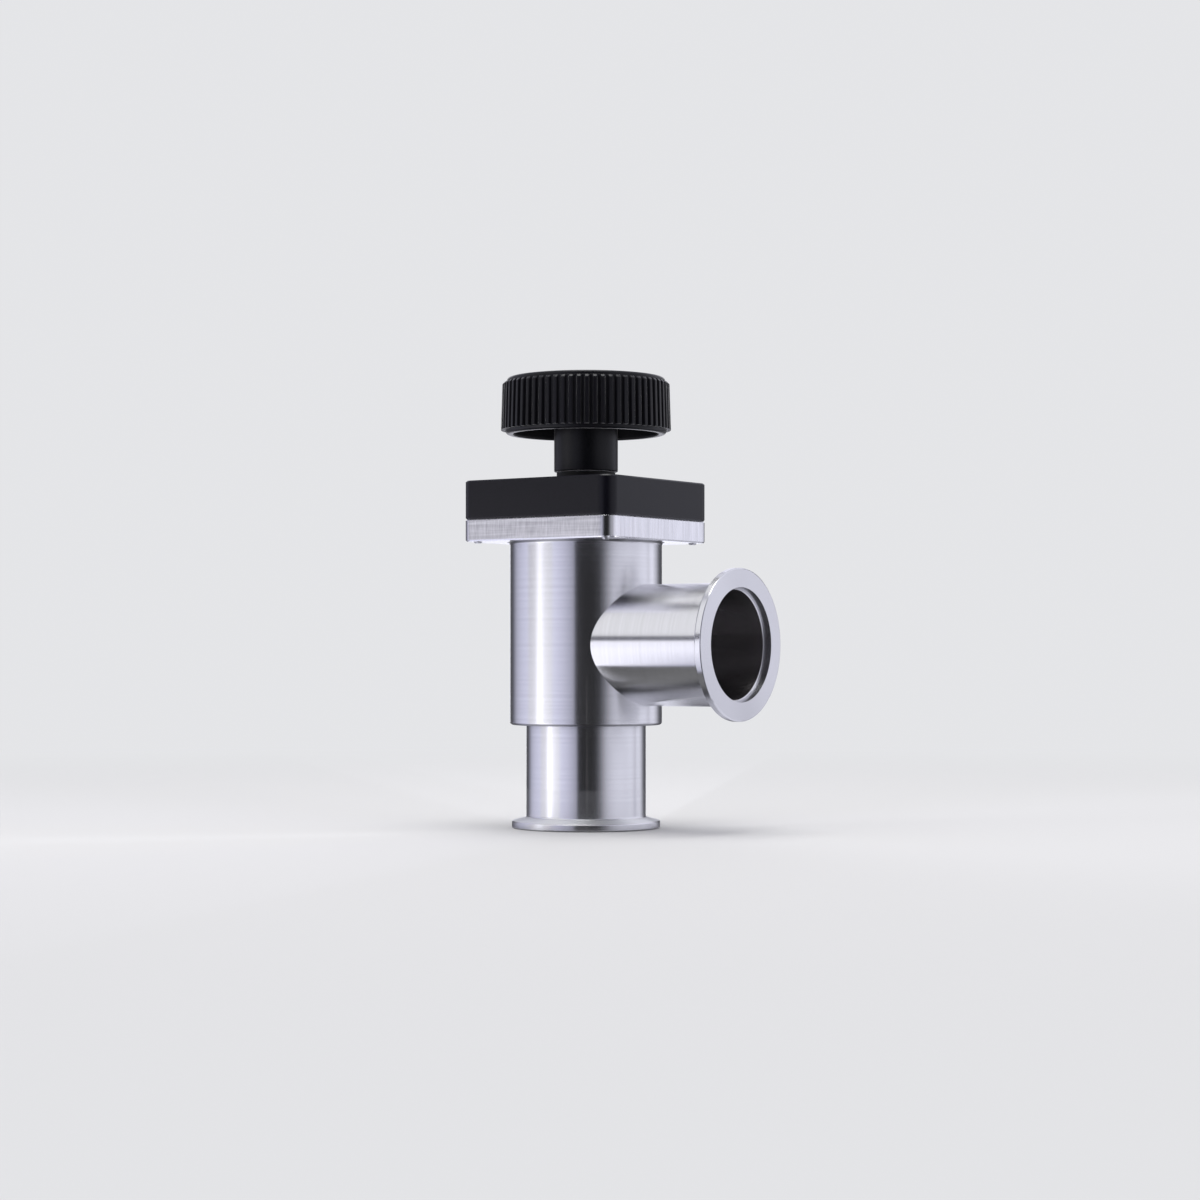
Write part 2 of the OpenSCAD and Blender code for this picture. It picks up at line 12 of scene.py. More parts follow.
import bmesh
import bpy
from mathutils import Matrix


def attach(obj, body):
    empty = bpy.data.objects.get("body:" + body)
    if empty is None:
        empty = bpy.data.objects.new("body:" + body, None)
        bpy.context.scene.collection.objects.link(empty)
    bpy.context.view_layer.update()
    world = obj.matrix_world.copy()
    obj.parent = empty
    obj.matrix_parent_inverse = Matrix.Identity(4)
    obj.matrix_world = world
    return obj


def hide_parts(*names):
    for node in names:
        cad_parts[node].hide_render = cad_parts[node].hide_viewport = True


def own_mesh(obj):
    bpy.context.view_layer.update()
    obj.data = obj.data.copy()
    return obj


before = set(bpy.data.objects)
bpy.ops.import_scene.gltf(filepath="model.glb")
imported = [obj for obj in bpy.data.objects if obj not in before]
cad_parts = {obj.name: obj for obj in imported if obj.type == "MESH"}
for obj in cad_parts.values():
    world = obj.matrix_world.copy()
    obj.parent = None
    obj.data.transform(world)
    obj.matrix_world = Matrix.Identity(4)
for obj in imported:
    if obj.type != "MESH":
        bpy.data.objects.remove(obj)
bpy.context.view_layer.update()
MM = 0.001

# %% [markdown]
# ## The camera
#
# The photograph was taken with a long lens, level with the middle of the side port, from the right of the
# valve's front. A level camera keeps upright edges upright. The framing that is left, with the valve a little
# left of the middle and above it, comes from a small lens shift and not from a tilt.

# %% Camera
IMAGE_SIZE = 1200
SENSOR = 36.0
VIEW_TURN = math.radians(34.9)
VIEW_RANGE = 0.95
EYE_HEIGHT = 63 * MM
PIXELS_PER_METRE = 2689
AXIS_PIXEL = 586
EYE_PIXEL = 658

camera_data = bpy.data.cameras.new("camera")
camera_data.sensor_width = SENSOR
camera_data.lens = SENSOR * PIXELS_PER_METRE * VIEW_RANGE / IMAGE_SIZE
camera_data.shift_x = (IMAGE_SIZE / 2 - AXIS_PIXEL) / IMAGE_SIZE
camera_data.shift_y = (EYE_PIXEL - IMAGE_SIZE / 2) / IMAGE_SIZE
camera = bpy.data.objects.new("camera", camera_data)
camera.location = (VIEW_RANGE * math.sin(VIEW_TURN), -VIEW_RANGE * math.cos(VIEW_TURN), EYE_HEIGHT)
camera.rotation_euler = (math.pi / 2, 0, VIEW_TURN)
bpy.context.scene.collection.objects.link(camera)
bpy.context.scene.camera = camera
print("lens:", round(camera_data.lens, 1), "mm")

# %% [markdown]
# ## Node helpers
#
# Finishes and geometry trees are both made of nodes. These helpers add a node, feed its sockets with numbers
# or with other nodes, and do one step of arithmetic, so that each tree below reads as a short recipe.

# %% Node helpers


def feed(tree, socket, value):
    """Links a socket to another one, or sets it to a plain value."""
    if isinstance(value, bpy.types.NodeSocket):
        tree.links.new(value, socket)
    else:
        socket.default_value = value


def add_node(tree, kind, inputs=None, **properties):
    """A node with its properties set and its inputs fed by name."""
    made = tree.nodes.new(kind)
    for key, value in properties.items():
        setattr(made, key, value)
    for key, value in (inputs or {}).items():
        feed(tree, made.inputs[key], value)
    return made


def calc(tree, operation, *values):
    """One step of arithmetic on numbers or sockets."""
    return add_node(tree, "ShaderNodeMath", dict(enumerate(values)), operation=operation).outputs[0]


def remap(tree, value, old, new, smooth=False):
    """A value moved from one range to another, held at both ends."""
    sizes = {"Value": value, "From Min": old[0], "From Max": old[1], "To Min": new[0], "To Max": new[1]}
    kind = "SMOOTHSTEP" if smooth else "LINEAR"
    return add_node(tree, "ShaderNodeMapRange", sizes, interpolation_type=kind).outputs["Result"]


def new_material(name):
    """A material with its node tree and its Principled shader."""
    material = bpy.data.materials.new(name)
    material.use_nodes = True
    return material, material.node_tree, material.node_tree.nodes["Principled BSDF"]


def noise(tree, scale, detail=2.0, roughness=0.55):
    """Noise on Object coordinates, with its own number of waves per metre along each axis."""
    place = add_node(tree, "ShaderNodeTexCoord").outputs["Object"]
    stretched = add_node(tree, "ShaderNodeMapping", {"Vector": place, "Scale": scale}).outputs["Vector"]
    sizes = {"Vector": stretched, "Scale": 1.0, "Detail": detail, "Roughness": roughness}
    return add_node(tree, "ShaderNodeTexNoise", sizes).outputs["Fac"]


def tint(tree, value, first, second):
    """A colour that runs from the first to the second as a value goes from 0 to 1. Each may be a socket."""
    first, second = [c if isinstance(c, bpy.types.NodeSocket) else (*c, 1) for c in (first, second)]
    return add_node(tree, "ShaderNodeMix", {0: value, 6: first, 7: second}, data_type="RGBA").outputs[2]


def place_parts(tree):
    """The X, Y and Z of a point in Object coordinates."""
    place = add_node(tree, "ShaderNodeTexCoord").outputs["Object"]
    return add_node(tree, "ShaderNodeSeparateXYZ", {"Vector": place}).outputs


def relief(tree, shader, height, depth):
    """Surface relief of a real depth in metres."""
    made = add_node(tree, "ShaderNodeBump", {"Height": height, "Distance": depth})
    tree.links.new(made.outputs["Normal"], shader.inputs["Normal"])


NOISE_SPAN = (0.3, 0.7)
print("node helpers ready")

# %% [markdown]
# ## Turned steel
#
# The body and both ports were turned on a lathe, so fine lines run round their axis. Such a surface is smooth
# along the lines and rough across them: reflections keep sharp edges round the axis and smear along it.
# An anisotropic shader with a radial tangent does that, and stretched noise adds the lines themselves.
# A picture of brushed metal could be wrapped round instead, but it would blur close up and show a seam.
#
# The surface normal picks out where light and shade are painted in: the shoulder's lower edge gets painted
# shade and a duller finish, the slope of the bottom flange a painted highlight and a matte finish, and the
# side flange's face a little painted shade. The bores of the ports get painted shade as well.

# %% Turned steel
FINE_LINES, WIDE_LINES = 4200, 760
FINE_SHARE, WIDE_SHARE = 0.3, 0.7
ACROSS_LINES, LINE_STRETCH = 0.25, 0.9
LINE_GLOSS, LINE_DEPTH = (0.235, 0.255), 2.5e-7
DARK_STEEL, LIGHT_STEEL = (0.585, 0.585, 0.607), (0.65, 0.65, 0.675)
# Painted shade inside the ports' bores, darker and warmer than the turned skin.
BORE_PAINTED_SHADE = (0.44, 0.42, 0.42)
# Painted shade: downward-facing edges get a darker colour, along with a duller finish.
EDGE_PAINTED_SHADE, EDGE_DULL = (0.3, 0.3, 0.31), 0.2
# Painted highlight: upward slopes get a paler colour, along with a matte finish.
SLOPE_PAINTED_LIGHT, SLOPE_DULL = (0.74, 0.745, 0.75), 0.35
# Painted shade: the side flange's face is tinted a little darker than its tube.
FACE_PAINTED_SHADE, FACE_SHARE = (0.53, 0.53, 0.55), 0.6
PORT_REACH, BORE_RADIUS = 67.7 * MM, 19.8 * MM
MATTE_METAL = 0.92


def round_axis(axis, lines, drift):
    """Waves per metre of a noise that is drawn out into lines round an axis."""
    return (lines, drift, drift) if axis == "X" else (drift, drift, lines)


def turned_steel(name, axis, matte_below=None, shade_bore=False):
    """Lathe-turned steel with its lines round the X or the Z axis, duller below a mark, with painted shade in
    a bore and painted light and shade on faces picked by the normal.
    """
    material, tree, shader = new_material(name)
    fine = noise(tree, round_axis(axis, FINE_LINES, 4))
    wide = noise(tree, round_axis(axis, WIDE_LINES, 2))
    lines = calc(tree, "MULTIPLY_ADD", fine, FINE_SHARE, calc(tree, "MULTIPLY", wide, WIDE_SHARE))
    shade = tint(tree, remap(tree, lines, NOISE_SPAN, (0, 1)), DARK_STEEL, LIGHT_STEEL)
    gloss = remap(tree, wide, NOISE_SPAN, LINE_GLOSS)
    place = place_parts(tree)
    normal = add_node(tree, "ShaderNodeNewGeometry").outputs["Normal"]
    along = add_node(tree, "ShaderNodeSeparateXYZ", {"Vector": normal}).outputs[axis]
    if axis == "Z":
        on_edge = remap(tree, along, (-0.2, -0.5), (0, 1))
        on_slope = remap(tree, along, (0.6, 0.9), (0, 1))
        # Painted shade on downward edges and a painted highlight on upward slopes, picked by the normal.
        shade = tint(tree, on_slope, tint(tree, on_edge, shade, EDGE_PAINTED_SHADE), SLOPE_PAINTED_LIGHT)
        edge_dull = remap(tree, on_edge, (0, 1), (0, EDGE_DULL))
        slope_dull = remap(tree, on_slope, (0, 1), (0, SLOPE_DULL))
        gloss = calc(tree, "ADD", gloss, calc(tree, "MAXIMUM", edge_dull, slope_dull))
    else:
        # Painted shade on the face that looks along the side port's axis.
        on_face = remap(tree, along, (0.9, 0.98), (0, FACE_SHARE))
        shade = tint(tree, on_face, shade, FACE_PAINTED_SHADE)
    # Painted shade: inside the bore the colour turns darker.
    if shade_bore:
        lift = calc(tree, "SUBTRACT", place["Z"], PORT_REACH)
        across = calc(tree, "POWER", place["Y"], 2.0)
        other = calc(tree, "POWER", lift if axis == "X" else place["X"], 2.0)
        radius = calc(tree, "SQRT", calc(tree, "ADD", across, other))
        inside = remap(tree, radius, (BORE_RADIUS + 0.01 * MM, BORE_RADIUS + 0.03 * MM), (1, 0))
        shade = tint(tree, inside, shade, BORE_PAINTED_SHADE)
    shader.inputs["Metallic"].default_value = 1.0
    if matte_below is not None:
        above = remap(tree, place["Z"], (matte_below, matte_below + 0.2 * MM), (MATTE_METAL, 1))
        tree.links.new(above, shader.inputs["Metallic"])
    tree.links.new(shade, shader.inputs["Base Color"])
    tree.links.new(gloss, shader.inputs["Roughness"])
    shader.inputs["Anisotropic"].default_value = LINE_STRETCH
    shader.inputs["Anisotropic Rotation"].default_value = ACROSS_LINES
    tangent = add_node(tree, "ShaderNodeTangent", direction_type="RADIAL", axis=axis)
    tree.links.new(tangent.outputs["Tangent"], shader.inputs["Tangent"])
    relief(tree, shader, fine, LINE_DEPTH)
    return material


TOOL_MARK_HEIGHT = 14.6 * MM
steel_body = turned_steel("turned_steel_body", "Z")
steel_bottom = turned_steel("turned_steel_bottom", "Z", matte_below=TOOL_MARK_HEIGHT, shade_bore=True)
steel_side = turned_steel("turned_steel_side", "X", shade_bore=True)
print("steel:", steel_body.name, steel_bottom.name, steel_side.name)

# %% [markdown]
# ## The plate's ground and sawn sides
#
# The square plate was cut from bar. Two of its sides keep the crossed grain of the saw, the other two show
# upright grinding streaks. Its bevels get a painted highlight and its rounded corners a painted dark
# reflection.
# Each face could have its own material, but the solid is one piece. So one material covers them all: it reads
# the surface normal to tell which side it is on, and takes a noise that is stretched along the lines of that
# side.

# %% Plate steel
GRAIN_SPAN, GRAIN_GLOSS, GRAIN_DEPTH = (0.36, 0.64), (0.04, -0.04), 2.5e-6
SAWN_STEEL = [(0.35, 0.345, 0.363), (0.555, 0.55, 0.574)]
STREAKED_STEEL = [(0.57, 0.57, 0.595), (0.67, 0.67, 0.7)]
# Painted highlight on the bevels and the flat top and bottom; painted dark reflection on the rounded corners.
BEVEL_PAINTED_HIGHLIGHT, CORNER_PAINTED_REFLECTION = (0.8, 0.8, 0.83), (0.34, 0.34, 0.35)
SAWN_ROUGH, STREAKED_ROUGH, CORNER_POLISH = 0.44, 0.28, 0.08


def plate_finish(name):
    """Bar steel with a sawn grain on its front and back, upright streaks on its ends, a painted highlight on
    its bevels and a painted dark reflection on its corners.
    """
    material, tree, shader = new_material(name)
    normal = add_node(tree, "ShaderNodeNewGeometry").outputs["Normal"]
    facing = add_node(tree, "ShaderNodeSeparateXYZ", {"Vector": normal}).outputs
    across, along, upright = [calc(tree, "ABSOLUTE", facing[axis]) for axis in "XYZ"]
    on_streaks = remap(tree, across, (0.15, 0.45), (0, 1), smooth=True)
    on_bevel = remap(tree, upright, (0.3, 0.5), (0, 1), smooth=True)
    on_corner = remap(tree, calc(tree, "MINIMUM", across, along), (0.25, 0.45), (0, 1), smooth=True)
    strokes = noise(tree, (1500, 1500, 150), detail=3.0)
    saw_lines = noise(tree, (40, 40, 1200), detail=3.0)
    sawn = calc(tree, "MULTIPLY_ADD", strokes, 0.5, calc(tree, "MULTIPLY", saw_lines, 0.5))
    streaks = noise(tree, (900, 900, 40), detail=4.0, roughness=0.6)
    grain = add_node(tree, "ShaderNodeMix", {"Factor": on_streaks, "A": sawn, "B": streaks}).outputs["Result"]
    spread = remap(tree, grain, GRAIN_SPAN, (0, 1))
    sawn_shade = tint(tree, spread, *SAWN_STEEL)
    streak_shade = tint(tree, spread, *STREAKED_STEEL)
    # Painted reflection: the rounded corners get a dark colour that stands in for the dark band they mirror.
    side_shade = tint(tree, on_corner, tint(tree, on_streaks, sawn_shade, streak_shade), CORNER_PAINTED_REFLECTION)
    # Painted highlight: the bevels and the flat top and bottom get a bright colour.
    tree.links.new(tint(tree, on_bevel, side_shade, BEVEL_PAINTED_HIGHLIGHT), shader.inputs["Base Color"])
    smooth = calc(tree, "MAXIMUM", on_streaks, on_bevel)
    side_rough = remap(tree, smooth, (0, 1), (SAWN_ROUGH, STREAKED_ROUGH))
    rough = calc(tree, "SUBTRACT", side_rough, calc(tree, "MULTIPLY", on_corner, CORNER_POLISH))
    gloss = calc(tree, "ADD", rough, remap(tree, grain, GRAIN_SPAN, GRAIN_GLOSS))
    tree.links.new(gloss, shader.inputs["Roughness"])
    shader.inputs["Metallic"].default_value = 1.0
    relief(tree, shader, grain, GRAIN_DEPTH)
    return material


plate_steel = plate_finish("plate_steel")
print("plate:", plate_steel.name)

# %% [markdown]
# ## Black cover, black plastic and small parts
#
# The cover is black anodised, and the knob is moulded plastic. Both are nearly black, so what is seen of them
# is mostly gloss: a fine grain breaks it up, and a little sheen lights the knob's ribs towards its sides. The
# small parts share the same recipe with other colours. A flat colour would do at this size, but not close up.

# %% Grained finishes
SHEEN_SPREAD = 0.25


def grained(name, dark, light, gloss, grain, depth, metallic=0.0, specular=0.5, sheen=0.0):
    """A finish with a fine even grain in its colour, its roughness and its surface."""
    material, tree, shader = new_material(name)
    speckle = noise(tree, (grain, grain, grain), detail=4.0)
    spread = remap(tree, speckle, NOISE_SPAN, (0, 1))
    tree.links.new(tint(tree, spread, dark, light), shader.inputs["Base Color"])
    tree.links.new(remap(tree, speckle, NOISE_SPAN, gloss), shader.inputs["Roughness"])
    shader.inputs["Metallic"].default_value = metallic
    shader.inputs["Specular IOR Level"].default_value = specular
    shader.inputs["Sheen Weight"].default_value = sheen
    shader.inputs["Sheen Roughness"].default_value = SHEEN_SPREAD
    relief(tree, shader, speckle, depth)
    return material


black_cover = grained("black_cover", (0.0023, 0.0021, 0.0045), (0.0042, 0.0037, 0.0076), (0.28, 0.33), 2600,
                      1.2e-6, specular=0.18)
black_knob = grained("black_knob", (0.0045, 0.0045, 0.0062), (0.0075, 0.0075, 0.01), (0.28, 0.38), 1700,
                     5e-6, specular=0.16, sheen=0.4)
black_bush = grained("black_bush", (0.004, 0.004, 0.004), (0.007, 0.007, 0.007), (0.5, 0.6), 1700,
                     6e-6, specular=0.15)
bright_steel = grained("bright_steel", (0.58, 0.58, 0.6), (0.66, 0.66, 0.67), (0.18, 0.28), 700,
                       1e-6, metallic=1.0)
screw_steel = grained("screw_steel", (0.38, 0.38, 0.4), (0.5, 0.5, 0.52), (0.25, 0.38), 1300,
                      3e-6, metallic=1.0)
nut_brass = grained("nut_brass", (0.6, 0.43, 0.19), (0.74, 0.57, 0.3), (0.22, 0.34), 900,
                    2e-6, metallic=1.0)
seal_rubber = grained("seal_rubber", (0.018, 0.016, 0.015), (0.03, 0.027, 0.025), (0.45, 0.6), 1500, 8e-6)

FINISHES = {
    "body_tube": steel_body, "bottom_port": steel_bottom, "side_port": steel_side, "valve_disc": steel_body,
    "bonnet_plate": plate_steel, "bellows_flange": bright_steel, "thrust_ball": bright_steel,
    "bonnet": black_cover, "guide_bush": black_bush, "knob_cap": black_knob,
    "screw_washers": screw_steel, "knob_screw": screw_steel, "knob_washer": screw_steel,
    "retaining_ring": screw_steel, "spindle_nut": nut_brass, "thrust_washer": nut_brass,
    "bonnet_seal": seal_rubber, "wiper_ring": seal_rubber, "disc_seal": seal_rubber,
}
for node, finish in FINISHES.items():
    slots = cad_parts[node].data.materials
    slots.clear()
    slots.append(finish)
print("finished nodes:", len(FINISHES))

# %% [markdown]
# ## Turning a profile
#
# Most of what is modelled here is round, so one helper turns a profile round the Z axis, as a lathe would.
# A profile is a list of (radius, height) in millimetres. A radius may also be a function of the angle, which
# gives hexagons and knurls. Doubles are merged and the normals made to point outwards.

# %% Profile helpers
SHARP_EDGE = math.radians(38)


def arc(x, z, radius, start, stop, steps):
    """Points of an arc in a profile, with angles in degrees."""
    angles = [math.radians(start + (stop - start) * i / steps) for i in range(steps + 1)]
    return [(x + radius * math.cos(a), z + radius * math.sin(a)) for a in angles]


def with_flat(radius, flat):
    """A radius as a function of the angle, cut off by one flat that faces +X."""
    return lambda angle: min(radius, flat / max(math.cos(angle), 1e-6))


def even_turn(count):
    """Evenly spaced angles round a full turn."""
    return [2 * math.pi * i / count for i in range(count)]


def shade(mesh):
    """Smooth shading that keeps the sharp edges."""
    mesh.polygons.foreach_set("use_smooth", [True] * len(mesh.polygons))
    mesh.set_sharp_from_angle(angle=SHARP_EDGE)


def revolve(name, profile, angles, closed=True):
    """An object turned from a profile, which is a closed loop or an open line."""
    count, rows = len(angles), len(profile)
    points = []
    for radius, height in profile:
        for angle in angles:
            r = radius(angle) if callable(radius) else radius
            points.append((r * MM * math.cos(angle), r * MM * math.sin(angle), height * MM))
    faces = []
    for i in range(rows if closed else rows - 1):
        low, high = i * count, (i + 1) % rows * count
        for j in range(count):
            k = (j + 1) % count
            faces.append((low + j, low + k, high + k, high + j))
    mesh = bpy.data.meshes.new(name)
    mesh.from_pydata(points, [], faces)
    shape = bmesh.new()
    shape.from_mesh(mesh)
    bmesh.ops.remove_doubles(shape, verts=shape.verts, dist=1e-7)
    bmesh.ops.recalc_face_normals(shape, faces=shape.faces)
    shape.to_mesh(mesh)
    shape.free()
    shade(mesh)
    made = bpy.data.objects.new(name, mesh)
    bpy.context.scene.collection.objects.link(made)
    return made


print("sharp edges from", round(math.degrees(SHARP_EDGE)), "degrees")

# %% [markdown]
# ## Geometry trees
#
# What repeats is made by Geometry Nodes: the ribs, the folds, the thread and the screws. Each tree has named
# inputs for its sizes. Once a tree has run, its result is kept as a plain mesh and the modifier is removed.

# %% Tree helpers
SOCKETS = {int: "NodeSocketInt", float: "NodeSocketFloat", bpy.types.Material: "NodeSocketMaterial",
           bpy.types.Object: "NodeSocketObject"}


def new_tree(name, kinds):
    """A geometry tree with named inputs, its group input's outputs, and a function that ends it."""
    tree = bpy.data.node_groups.new(name, "GeometryNodeTree")
    tree.interface.new_socket("Geometry", in_out="INPUT", socket_type="NodeSocketGeometry")
    tree.interface.new_socket("Geometry", in_out="OUTPUT", socket_type="NodeSocketGeometry")
    for label, kind in {**kinds, "Finish": bpy.types.Material}.items():
        tree.interface.new_socket(label, in_out="INPUT", socket_type=SOCKETS[kind])
    given = add_node(tree, "NodeGroupInput").outputs

    def end(geometry):
        real = add_node(tree, "GeometryNodeRealizeInstances", {"Geometry": geometry}).outputs["Geometry"]
        whole = add_node(tree, "GeometryNodeMergeByDistance", {"Geometry": real, "Distance": 1e-6})
        painted = add_node(tree, "GeometryNodeSetMaterial",
                           {"Geometry": whole.outputs["Geometry"], "Material": given["Finish"]})
        add_node(tree, "NodeGroupOutput", {"Geometry": painted.outputs["Geometry"]})

    return tree, given, end


def run_tree(piece, tree, values):
    """Runs a tree on a piece and keeps the result as the piece's plain mesh."""
    modifier = piece.modifiers.new(tree.name, "NODES")
    modifier.node_group = tree
    for item in tree.interface.items_tree:
        if item.name in values:
            modifier[item.identifier] = values[item.name]
    graph = bpy.context.evaluated_depsgraph_get()
    mesh = bpy.data.meshes.new_from_object(piece.evaluated_get(graph), depsgraph=graph)
    piece.modifiers.clear()
    piece.data = mesh
    mesh.name = piece.name
    shade(mesh)
    return piece


print("tree inputs:", len(SOCKETS), "kinds")

# %% [markdown]
# ## The ribbed knob
#
# The knob is one moulding: a hub, a hollow skirt with a rounded lip, and 66 grip ribs with bevelled upper
# ends. The ribs could be 66 separate bars, but then each would cut into the skirt. Here the smooth knob is
# turned first, with narrow columns where a rib's corners will be, and a tree pushes the outer skin out along
# the ribs.

# %% Knob sizes
HUB_BOTTOM, LIP_BOTTOM, KNOB_TOP = 132.1, 146.0, 167.0
HUB_RADIUS, LIP_RADIUS, CROWN_RADIUS, SKIRT_RADIUS = 11.85, 30.0, 29.4, 27.0
CAVITY_TOP, CAP_SEAT, WEB_TOP, WEB_BOTTOM, DRIVE_BOTTOM = 161.5, 164.8, 156.8, 154.4, 138.1
DRIVE_RADIUS, DRIVE_FLAT = 5.0, 4.0
HUB_BORE, CAP_RADIUS, POCKET_RADIUS, SCREW_HOLE = 6.02, 12.05, 7.3, 2.8
RIB_BOTTOM, RIB_TOP, RIB_BEVEL = 147.6, 165.3, 0.8
RIB_COUNT, RIB_FOOT_HEIGHT, RIB_TOP_HEIGHT = 66, 1.6, 1.05
RIB_SECTION = [(0.0, 1.0), (0.12, 1.0), (0.205, 0.995), (0.236, 0.93), (0.256, 0.78), (0.335, 0.1),
               (0.356, 0.02), (0.4, 0.0), (0.5, 0.0)]


def rib_columns():
    """Angles of the columns: each rib has them at the corners of its section, on both flanks."""
    steps = [share for share, _ in RIB_SECTION]
    steps = sorted(set(steps + [1 - share for share in steps[1:]]))
    return [2 * math.pi * (rib + share) / RIB_COUNT for rib in range(RIB_COUNT) for share in steps]


def knob_profile():
    """The knob's outline without its ribs, from the hub's mouth round the skirt and back down the inside."""
    bottom, top = LIP_BOTTOM, KNOB_TOP
    drive = with_flat(DRIVE_RADIUS + 0.02, DRIVE_FLAT + 0.02)
    rib_rows = [RIB_BOTTOM - 0.02, RIB_BOTTOM, RIB_BOTTOM + 0.12, RIB_BOTTOM + 0.4,
                RIB_TOP - RIB_BEVEL - 0.12, RIB_TOP - RIB_BEVEL, RIB_TOP - RIB_BEVEL + 0.12, RIB_TOP]
    return [
        (HUB_BORE, HUB_BOTTOM), (HUB_RADIUS - 0.5, HUB_BOTTOM),
        *arc(HUB_RADIUS - 0.4, HUB_BOTTOM + 0.4, 0.4, -90, 0, 3),
        (HUB_RADIUS, CAVITY_TOP - 2.0), *arc(HUB_RADIUS + 1.2, CAVITY_TOP - 1.2, 1.2, 180, 90, 4),
        *arc(SKIRT_RADIUS - 1.5, CAVITY_TOP - 1.5, 1.5, 90, 0, 4), (SKIRT_RADIUS, bottom + 1.0),
        *arc(SKIRT_RADIUS + 0.5, bottom + 0.5, 0.5, 180, 270, 3),
        *arc(LIP_RADIUS - 1.5, bottom + 1.5, 1.5, -90, 0, 6), *[(LIP_RADIUS, z) for z in rib_rows],
        (CROWN_RADIUS + 0.12, RIB_TOP + 0.02), (CROWN_RADIUS, RIB_TOP + 0.14),
        *arc(CROWN_RADIUS - 1.1, top - 1.1, 1.1, 0, 90, 6),
        (CAP_RADIUS + 0.3, top), *arc(CAP_RADIUS + 0.3, top - 0.3, 0.3, 90, 180, 2), (CAP_RADIUS, CAP_SEAT),
        (POCKET_RADIUS, CAP_SEAT), (POCKET_RADIUS, WEB_TOP), (SCREW_HOLE, WEB_TOP), (SCREW_HOLE, WEB_BOTTOM),
        (drive, WEB_BOTTOM), (drive, DRIVE_BOTTOM), (HUB_BORE, DRIVE_BOTTOM),
    ]


print("knob columns:", len(rib_columns()), "profile points:", len(knob_profile()))

# %% Ridge tree


def set_curve(node, points):
    """Sets a float curve to straight runs between points that go from 0 to 1."""
    curve = node.mapping.curves[0]
    for x, y in points[1:-1]:
        curve.points.new(x, y)
    curve.points[0].location = points[0]
    curve.points[-1].location = points[-1]
    for point in curve.points:
        point.handle_type = "VECTOR"
    node.mapping.update()


def ridge_tree(name, section):
    """A tree that pushes a turned skin outwards along ridges, upright ones or one that winds as a thread."""
    tree, given, end = new_tree(name, {
        "Ridges round": int, "Ridges per metre": float, "Skin radius": float, "Lower end": float,
        "Upper end": float, "Foot height": float, "Top height": float, "End bevel": float})
    place = add_node(tree, "GeometryNodeInputPosition").outputs["Position"]
    parts = add_node(tree, "ShaderNodeSeparateXYZ", {"Vector": place}).outputs
    flat = add_node(tree, "ShaderNodeCombineXYZ", {"X": parts["X"], "Y": parts["Y"]}).outputs["Vector"]
    radius = add_node(tree, "ShaderNodeVectorMath", {0: flat}, operation="LENGTH").outputs["Value"]
    turn = calc(tree, "DIVIDE", calc(tree, "ARCTAN2", parts["Y"], parts["X"]), 2 * math.pi)
    climb = calc(tree, "MULTIPLY", parts["Z"], given["Ridges per metre"])
    phase = calc(tree, "SUBTRACT", calc(tree, "MULTIPLY", turn, given["Ridges round"]), climb)
    share = calc(tree, "MULTIPLY", calc(tree, "PINGPONG", phase, 0.5), 2.0)
    shape = add_node(tree, "ShaderNodeFloatCurve", {"Value": share})
    set_curve(shape, [(2 * at, level) for at, level in section])
    draft = add_node(tree, "ShaderNodeMapRange", {
        "Value": parts["Z"], "From Min": given["Lower end"], "From Max": given["Upper end"],
        "To Min": given["Foot height"], "To Max": given["Top height"]}).outputs["Result"]
    bevel_start = calc(tree, "SUBTRACT", given["Upper end"], given["End bevel"])
    past_bevel = calc(tree, "SUBTRACT", parts["Z"], bevel_start)
    height = calc(tree, "SUBTRACT", draft, calc(tree, "MAXIMUM", past_bevel, 0.0))
    above = calc(tree, "GREATER_THAN", parts["Z"], calc(tree, "SUBTRACT", given["Lower end"], 0.01 * MM))
    below = calc(tree, "LESS_THAN", parts["Z"], calc(tree, "ADD", given["Upper end"], 0.01 * MM))
    outer = calc(tree, "GREATER_THAN", radius, calc(tree, "SUBTRACT", given["Skin radius"], 0.01 * MM))
    on_skin = calc(tree, "MULTIPLY", calc(tree, "MULTIPLY", above, below), outer)
    push = calc(tree, "MULTIPLY", calc(tree, "MULTIPLY", height, shape.outputs["Value"]), on_skin)
    outward = add_node(tree, "ShaderNodeVectorMath", {0: flat}, operation="NORMALIZE").outputs["Vector"]
    offset = add_node(tree, "ShaderNodeVectorMath", {0: outward, "Scale": push}, operation="SCALE")
    moved = add_node(tree, "GeometryNodeSetPosition",
                     {"Geometry": given["Geometry"], "Offset": offset.outputs["Vector"]})
    end(moved.outputs["Geometry"])
    return tree


rib_tree = ridge_tree("rib_tree", RIB_SECTION)
print("rib tree:", len(rib_tree.nodes), "nodes")

# %% Knob
knob = revolve("grip_knob", knob_profile(), rib_columns())
run_tree(knob, rib_tree, {
    "Ridges round": RIB_COUNT, "Ridges per metre": 0.0, "Skin radius": LIP_RADIUS * MM,
    "Lower end": RIB_BOTTOM * MM, "Upper end": RIB_TOP * MM, "Foot height": RIB_FOOT_HEIGHT * MM,
    "Top height": RIB_TOP_HEIGHT * MM, "End bevel": RIB_BEVEL * MM, "Finish": black_knob})
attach(knob, "handwheel")
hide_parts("knob")
print("knob faces:", len(knob.data.polygons))

# %% [markdown]
# ## The bellows
#
# A thin steel bellows seals the spindle from the vacuum, and shortens as the disc lifts. One fold is turned
# and a tree stacks it: all the folds could be drawn in full, but one fold and a count are easier to change.

# %% Stacking tree


